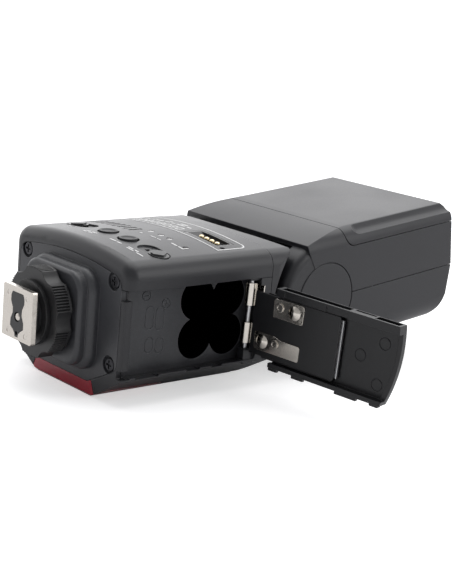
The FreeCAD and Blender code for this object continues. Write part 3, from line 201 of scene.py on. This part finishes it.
def glassy(name, color, rough, transmission, ior, absorb, coat):
    """Clear or tinted plastic or glass with faint streaks."""
    material, tree, shader = new_material(name)
    coords = object_coords(tree)
    slow = noise(tree, coords, scale=120.0)
    tint = remap(tree, slow, target=(0.0, absorb))
    feed(tree, shader, {
        "IOR": ior,
        "Transmission Weight": transmission,
        "Base Color": mix(tree, tint, color, scaled(color, gain=0.7)),
        "Roughness": remap(tree, slow, target=(rough, rough + 0.08)),
        "Coat Weight": coat,
    })
    ripple = noise(tree, coords, scale=1500.0, detail=2.0)
    normal = rounded_normal(tree, radius=0.2)
    add_bump(tree, shader, ripple, depth=0.01, strength=0.2, normal=normal)
    return material


def board_material(name):
    """Green circuit board with a brick pattern for its tracks."""
    material, tree, shader = new_material(name)
    coords = object_coords(tree)
    tracks = add_node(tree, "TexBrick", {
        "Vector": coords,
        "Scale": 420.0,
        "Mortar Size": 0.05,
        "Color1": (0.012, 0.10, 0.045),
        "Color2": (0.018, 0.13, 0.055),
        "Mortar": (0.06, 0.22, 0.09),
    })
    patches = remap(tree, noise(tree, coords, scale=300.0), source=(0.4, 0.7), target=(0.0, 0.3))
    base = mix(tree, patches, tracks.outputs["Color"], (0.01, 0.06, 0.03))
    feed(tree, shader, {"Base Color": base, "Roughness": 0.42})
    add_bump(tree, shader, tracks.outputs["Fac"], depth=0.03, strength=0.5)
    return material


def winding_material(name):
    """Copper wire wound in bands along Y."""
    material, tree, shader = new_material(name)
    wave = add_node(tree, "TexWave", {
        "Vector": object_coords(tree), "Scale": 700.0, "Distortion": 0.6,
    }, bands_direction="Y").outputs["Fac"]
    base = mix(tree, wave, (0.20, 0.07, 0.025), (0.62, 0.30, 0.12))
    feed(tree, shader, {"Base Color": base, "Metallic": 0.7, "Roughness": 0.35})
    add_bump(tree, shader, wave, depth=0.08)
    return material


def ink(name, color):
    """Printed ink with slightly uneven coverage."""
    material, tree, shader = new_material(name)
    patch = noise(tree, object_coords(tree), scale=900.0, rough=0.7)
    thin = remap(tree, patch, source=(0.35, 0.75), target=(0.0, 0.35))
    feed(tree, shader, {
        "Base Color": mix(tree, thin, color, scaled(color, gain=0.72)),
        "Roughness": remap(tree, patch, target=(0.45, 0.6)),
    })
    add_bump(tree, shader, patch, depth=0.01, strength=0.3)
    return material


def paper(name, color, glow):
    """Matt floor paper that glows only when the camera sees it directly."""
    material, tree, shader = new_material(name)
    mottle = noise(tree, object_coords(tree), scale=6.0)
    camera_ray = add_node(tree, "LightPath").outputs["Is Camera Ray"]
    feed(tree, shader, {
        "Base Color": mix(tree, mottle, color, scaled(color, gain=0.985)),
        "Roughness": 0.9,
        "Specular IOR Level": 0.1,
        "Emission Color": (1, 1, 1),
        "Emission Strength": remap(tree, camera_ray, source=(0.0, 1.0), target=(0.0, glow)),
    })
    return material


def paint_bay_shade(material, start_y):
    """Paint shade into the bay: the plastic is painted near black and matt beyond start_y, where
    little light reaches.
    """
    tree = material.node_tree
    shader = tree.nodes["Principled BSDF"]
    coords = add_node(tree, "TexCoord").outputs["Object"]
    y = add_node(tree, "SeparateXYZ", {0: coords}).outputs["Y"]
    # Painted shade mask: 0 at the opening, 1 further into the bay
    shade_mask = remap(tree, y, source=(start_y * MM, (start_y + BAY_FADE) * MM))
    lit_color = shader.inputs["Base Color"].links[0].from_socket
    feed(tree, shader, {
        "Base Color": mix(tree, shade_mask, lit_color, (0.0006, 0.0006, 0.0007)),
        "Specular IOR Level": remap(tree, shade_mask, source=(0.0, 1.0), target=(0.5, 0.02)),
    })


CHARCOAL = (0.0140, 0.0143, 0.0170)

# name: colour, roughness, grain size mm, grain depth mm, edge radius mm, edge lightening (rubbing
# and painted highlight)[, coat]
PLASTICS = {
    "casing": (CHARCOAL, 0.36, 0.42, 0.010, 0.45, 0.2),
    "end_cap": ((0.0370, 0.0380, 0.0425), 0.38, 0.36, 0.010, 0.35, 0.3),
    "dark_panel": ((0.006, 0.006, 0.007), 0.14, 0.9, 0.002, 0.3, 0.2, 0.6),
    "bay_plastic": ((0.0335, 0.0345, 0.0385), 0.36, 0.5, 0.006, 0.3, 1.0),
    "door_plastic": ((0.0058, 0.0060, 0.0074), 0.34, 0.5, 0.005, 0.25, 0.9),
    "neck_plastic": (CHARCOAL, 0.35, 0.42, 0.012, 0.4, 0.2),
    "head_shell": ((0.0150, 0.0154, 0.0185), 0.38, 0.42, 0.010, 0.5, 0.2),
    "bezel_plastic": ((0.012, 0.012, 0.013), 0.30, 0.6, 0.005, 0.25, 0.3),
    "insulator_plastic": ((0.006, 0.006, 0.007), 0.34, 0.4, 0.008, 0.15, 0.2),
    "ring_plastic": ((0.010, 0.010, 0.011), 0.40, 0.35, 0.010, 0.22, 0.5),
    "rubber_keys": ((0.022, 0.022, 0.024), 0.52, 0.3, 0.012, 0.3, 0.3),
    "switch_plastic": ((0.012, 0.012, 0.013), 0.34, 0.4, 0.006, 0.25, 0.4),
    "lamp_plastic": ((0.045, 0.040, 0.038), 0.24, 0.7, 0.003, 0.2, 0.1, 0.5),
    "component_black": ((0.012, 0.012, 0.012), 0.35, 0.5, 0.006, 0.2, 0.3),
    "capacitor_sleeve": ((0.012, 0.014, 0.040), 0.22, 2.0, 0.004, 0.3, 0.2, 0.5),
    "label_plastic": ((0.009, 0.009, 0.010), 0.36, 0.8, 0.003, 0.1, 0.2),
}
# name: colour, roughness, line stretch XYZ, line scale, line depth mm, edge radius mm,
# tarnish[, tarnish colour]
METALS = {
    "screw_steel": ((0.06, 0.06, 0.065), 0.36, (1, 1, 1), 1400.0, 0.004, 0.15, 0.4),
    "nickel_foot": ((0.66, 0.62, 0.57), 0.20, (0.12, 1.0, 0.16), 1600.0, 0.0015, 0.22, 0.14,
                    (0.42, 0.36, 0.30)),
    "nickel_strip": ((0.70, 0.66, 0.60), 0.13, (0.2, 1.0, 1.0), 1300.0, 0.0010, 0.18, 0.08),
    "steel": ((0.56, 0.56, 0.57), 0.3, (1.0, 1.0, 0.15), 1200.0, 0.003, 0.15, 0.3),
    "gold_pins": ((0.90, 0.76, 0.50), 0.24, (1, 1, 1), 1500.0, 0.002, 0.12, 0.15),
    "reflector_metal": ((0.86, 0.87, 0.88), 0.14, (1.0, 0.2, 1.0), 700.0, 0.004, 0.2, 0.1),
}
# name: colour, roughness, transmission, IOR, absorption, coat
GLASSES = {
    "lens_plastic": ((0.93, 0.95, 0.96), 0.08, 0.9, 1.49, 0.2, 0.0),
    "flash_glass": ((0.96, 0.96, 0.93), 0.03, 0.95, 1.46, 0.2, 0.0),
    "red_lens": ((0.38, 0.008, 0.026), 0.12, 0.15, 1.5, 0.4, 0.5),
}

materials = {}
for make, table in ((plastic, PLASTICS), (metal, METALS), (glassy, GLASSES)):
    for name, values in table.items():
        materials[name] = make(name, *values)
materials["board"] = board_material("board")
materials["winding"] = winding_material("winding")
# Painted shade inside the bay
paint_bay_shade(materials["bay_plastic"], BAY_SHADE_Y)
white_ink = ink("white_ink", color=(0.66, 0.66, 0.66))
grey_ink = ink("grey_ink", color=(0.60, 0.60, 0.60))

slot_of = {row["node"]: row["material_slot"] for row in frame["record"]["subparts"]}
for name, obj in frame["nodes"].items():
    obj.data.materials.clear()
    obj.data.materials.append(materials[slot_of[name]])


# ------------------------------------------------------------------ thin plates on the top
STRIP = 1.5                     # plates are cut across Y this often to follow the crown
STRIP_SHIFT = 0.013             # each cut lies this far past a whole step


def crown(y):
    return CROWN_AXIS_Z + math.sqrt(CROWN_RADIUS * CROWN_RADIUS - y * y)


def flat_plate(outer, holes):
    """Flat triangulated outline with holes, cut into strips across Y, facing +Z."""
    flat = bmesh.new()
    for outline in [outer] + holes:
        verts = [flat.verts.new((x, y, 0)) for x, y in outline]
        for start, end in zip(verts, verts[1:] + verts[:1]):
            flat.edges.new((start, end))
    bmesh.ops.triangle_fill(flat, use_beauty=True, use_dissolve=False,
                            edges=flat.edges[:], normal=(0, 0, 1))
    ys = [point[1] for point in outer]
    y = math.ceil(min(ys) / STRIP) * STRIP
    while y < max(ys):
        bmesh.ops.bisect_plane(flat, geom=flat.verts[:] + flat.edges[:] + flat.faces[:],
                               plane_co=(0, y + STRIP_SHIFT, 0), plane_no=(0, 1, 0))
        y += STRIP
    flat.normal_update()
    for face in flat.faces:
        if face.normal.z < 0:
            face.normal_flip()
    return flat


def add_plate(bm, outer, holes, low, high):
    """Closed plate between heights low and high above the crowned top."""
    flat = flat_plate(outer, holes)
    upper, lower = {}, {}
    for vert in flat.verts:
        x, y = vert.co.x, vert.co.y
        upper[vert] = bm.verts.new((x * MM, y * MM, (crown(y) + high) * MM))
        lower[vert] = bm.verts.new((x * MM, y * MM, (crown(y) + low) * MM))
    for face in flat.faces:
        bm.faces.new([upper[vert] for vert in face.verts])
        bm.faces.new([lower[vert] for vert in reversed(face.verts)])
    for edge in flat.edges:
        if len(edge.link_faces) == 1:
            for loop in edge.link_faces[0].loops:
                if loop.edge == edge:
                    start, end = loop.vert, loop.link_loop_next.vert
                    bm.faces.new([upper[end], upper[start], lower[start], lower[end]])
    flat.free()


def printed_mark(name, plates, material, low=0.0, high=0.075):
    """One object riding on the body, made of plates given as (outer, holes)."""
    bm = bmesh.new()
    for outer, holes in plates:
        add_plate(bm, outer, holes, low, high)
    mesh = bpy.data.meshes.new(name)
    bm.normal_update()
    bm.to_mesh(mesh)
    bm.free()
    obj = bpy.data.objects.new(name, mesh)
    scene.collection.objects.link(obj)
    mesh.materials.append(material)
    for polygon in mesh.polygons:
        polygon.use_smooth = False
    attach(obj, "body")


def rounded(x0, x1, y0, y1, radii, steps=6):
    """Counter-clockwise rectangle; one radius, or one each from (x1, y0) round to (x0, y0)."""
    if isinstance(radii, float):
        radii = (radii,) * 4
    corners = ((x1, y0, -1, 1), (x1, y1, -1, -1), (x0, y1, 1, -1), (x0, y0, 1, 1))
    points = []
    for i, ((x, y, inward_x, inward_y), radius) in enumerate(zip(corners, radii)):
        for k in range(steps + 1):
            angle = math.radians(90 * (i - 1) + 90 * k / steps)
            points.append((x + inward_x * radius + radius * math.cos(angle),
                           y + inward_y * radius + radius * math.sin(angle)))
    return points


def circle(x, y, radius, steps=16):
    angles = [2 * math.pi * k / steps for k in range(steps)]
    return [(x + radius * math.cos(a), y + radius * math.sin(a)) for a in angles]


# ------------------------------------------------------------------ label and printed strokes
LABEL_X0, LABEL_X1, LABEL_Y0, LABEL_Y1 = 64.2, 78.4, -29.2, 27.4
LABEL_RADII = (3.0, 1.0, 0.3, 0.3)
PORT_CUT = rounded(66.35, 75.05, -25.65, -6.35, 0.4)
ROUND_CUT = circle(67.6, -27.6, radius=1.05)
BORDER_OUTSET = 0.05            # border beyond the label's edge
BORDER_INSET = 0.48             # border's inner edge, inside the label's edge
BORDER_INSET_X1 = 0.50          # the same on the +X side
BORDER_INNER_RADII = (2.6, 0.6, 0.1, 0.1)

GLYPH_COUNT = 8
GLYPH_FIRST_Y, GLYPH_PITCH = 24.2, 3.75

# y1, y0 of each small stroke
SMALL_STROKES = (
    (25.0, 21.6), (20.6, 18.8), (17.8, 13.6), (12.4, 9.8), (8.8, 6.6), (5.4, 0.6), (-0.6, -3.2),
)
# x0, x1, y0, y1 of each stroke on the panel
PANEL_STROKES = (
    (32.4, 33.1, 16.4, 18.6), (31.6, 32.3, 3.9, 6.4), (31.6, 32.3, 0.2, 3.2),
    (30.3, 31.0, 4.6, 6.8), (30.3, 31.0, 1.0, 3.9), (31.6, 32.3, -11.4, -7.8),
    (31.6, 32.3, -14.6, -12.1), (32.0, 32.6, -21.2, -18.4), (32.0, 32.6, -24.2, -22.0),
    (30.9, 31.5, -22.6, -18.8), (30.9, 31.5, -28.2, -24.4), (48.6, 49.3, -4.2, -2.8),
    (49.4, 49.9, -11.4, -8.4), (49.4, 49.9, -14.4, -12.2), (51.0, 51.7, -21.6, -18.4),
    (51.0, 51.7, -25.4, -22.4),
)


def label_border():
    outer = rounded(LABEL_X0 - BORDER_OUTSET, LABEL_X1 + BORDER_OUTSET,
                    LABEL_Y0 - BORDER_OUTSET, LABEL_Y1 + BORDER_OUTSET,
                    [radius + BORDER_OUTSET for radius in LABEL_RADII])
    inner = rounded(LABEL_X0 + BORDER_INSET, LABEL_X1 - BORDER_INSET_X1,
                    LABEL_Y0 + BORDER_INSET, LABEL_Y1 - BORDER_INSET, BORDER_INNER_RADII)
    return [(outer, [inner])]


def label_glyphs():
    """A row of blocks along Y, with two windows and one window by turns."""
    glyphs = []
    for k in range(GLYPH_COUNT):
        y = GLYPH_FIRST_Y - GLYPH_PITCH * k
        if k % 2:
            holes = [rounded(66.95, 69.45, y - 0.78, y + 0.78, 0.3, steps=3)]
        else:
            holes = [rounded(x0, x1, y - 0.8, y + 0.8, 0.2, steps=3)
                     for x0, x1 in ((66.9, 67.9), (68.4, 69.5))]
        glyphs.append((rounded(66.4, 70.0, y - 1.30, y + 1.30, 0.6, steps=3), holes))
    return glyphs


def small_strokes():
    """A line of strokes; every second one has a shorter partner on its +X side."""
    strokes = []
    for k, (y1, y0) in enumerate(SMALL_STROKES):
        strokes.append((rounded(72.4, 73.3, y0, y1, 0.2, steps=2), []))
        if k % 2:
            strokes.append((rounded(74.2, 75.0, y0 + 0.4, y1 - 0.3, 0.2, steps=2), []))
    return strokes


label_outline = rounded(LABEL_X0, LABEL_X1, LABEL_Y0, LABEL_Y1, LABEL_RADII)
printed_mark("label_plate", [(label_outline, [PORT_CUT, ROUND_CUT])],
             materials["label_plastic"], low=-0.05, high=0.05)
printed_mark("label_border", label_border(), white_ink, high=0.085)
# Plain strokes stand in for the printed words
printed_mark("label_strokes", label_glyphs(), white_ink)
printed_mark("label_small_strokes", small_strokes(), grey_ink)
printed_mark("panel_strokes", [(rounded(*box, 0.15, steps=2), []) for box in PANEL_STROKES],
             white_ink, high=0.07)


# ------------------------------------------------------------------ floor, world and lights (m)
def make_floor():
    bm = bmesh.new()
    bmesh.ops.create_grid(bm, x_segments=8, y_segments=8, size=14.0)
    mesh = bpy.data.meshes.new("floor")
    bm.to_mesh(mesh)
    bm.free()
    floor = bpy.data.objects.new("floor", mesh)
    floor.location = (0, 0, -0.0281)
    scene.collection.objects.link(floor)
    mesh.materials.append(paper("floor_paper", color=(0.76, 0.76, 0.77), glow=0.52))


def make_world():
    """White surround, brightest towards +X +Y and dimmer overhead."""
    weight_x, weight_y = 0.66, 0.75     # horizontal direction of the bright side
    world = bpy.data.worlds.new("studio")
    scene.world = world
    world.use_nodes = True
    tree = world.node_tree
    tree.nodes.clear()
    output = add_node(tree, "OutputWorld")
    coords = add_node(tree, "TexCoord").outputs["Generated"]
    axes = add_node(tree, "SeparateXYZ", {0: coords}).outputs
    away = combine(
        tree, "ADD",
        combine(tree, "MULTIPLY", axes["X"], weight_x),
        combine(tree, "MULTIPLY", axes["Y"], weight_y))
    glow = remap(tree, away, source=(-0.35, 1.0), target=(0.45, 2.1))
    overhead = remap(tree, axes["Z"], source=(0.25, 0.9), target=(1.0, 0.62))
    background = add_node(tree, "Background", {
        "Color": (1.0, 1.0, 1.01),
        "Strength": combine(tree, "MULTIPLY", glow, overhead),
    })
    feed(tree, output, {0: background.outputs[0]})


def softbox(name, place, target, size, power):
    """Square area light aimed at a target."""
    data = bpy.data.lights.new(name, "AREA")
    data.shape = "RECTANGLE"
    data.size = data.size_y = size
    data.energy = power
    obj = bpy.data.objects.new(name, data)
    obj.location = place
    aim = Vector(target) - Vector(place)
    obj.rotation_euler = aim.to_track_quat("-Z", "Y").to_euler()
    scene.collection.objects.link(obj)


make_floor()
make_world()
softbox("top_softbox", place=(0.25, 0.15, 1.1), target=(0.09, 0.0, 0.0), size=1.3, power=9.0)
softbox("side_softbox", place=(0.55, -0.95, 0.55), target=(0.1, 0.0, 0.0), size=0.7, power=3.0)


# ------------------------------------------------------------------ camera
CAMERA_PLACE = (-0.248015, -0.383925, 0.123389)     # metres
AZIMUTH, ELEVATION, ROLL = map(math.radians, (-41.859, 13.590, 5.061))
FOCAL_LENGTH = 83.1914384


def make_camera():
    back = Vector((math.sin(AZIMUTH) * math.cos(ELEVATION),
                   -math.cos(AZIMUTH) * math.cos(ELEVATION),
                   math.sin(ELEVATION)))
    level = Vector((math.cos(AZIMUTH), math.sin(AZIMUTH), 0))
    upright = back.cross(level)
    right = level * math.cos(ROLL) + upright * math.sin(ROLL)
    up = upright * math.cos(ROLL) - level * math.sin(ROLL)
    data = bpy.data.cameras.new("camera")
    data.sensor_width = 36.0
    data.lens = FOCAL_LENGTH
    data.clip_start, data.clip_end = 0.01, 60.0
    camera = bpy.data.objects.new("camera", data)
    scene.collection.objects.link(camera)
    rows = [(*axes, place) for *axes, place in zip(right, up, back, CAMERA_PLACE)]
    camera.matrix_world = Matrix((*rows, (0, 0, 0, 1)))
    scene.camera = camera


make_camera()
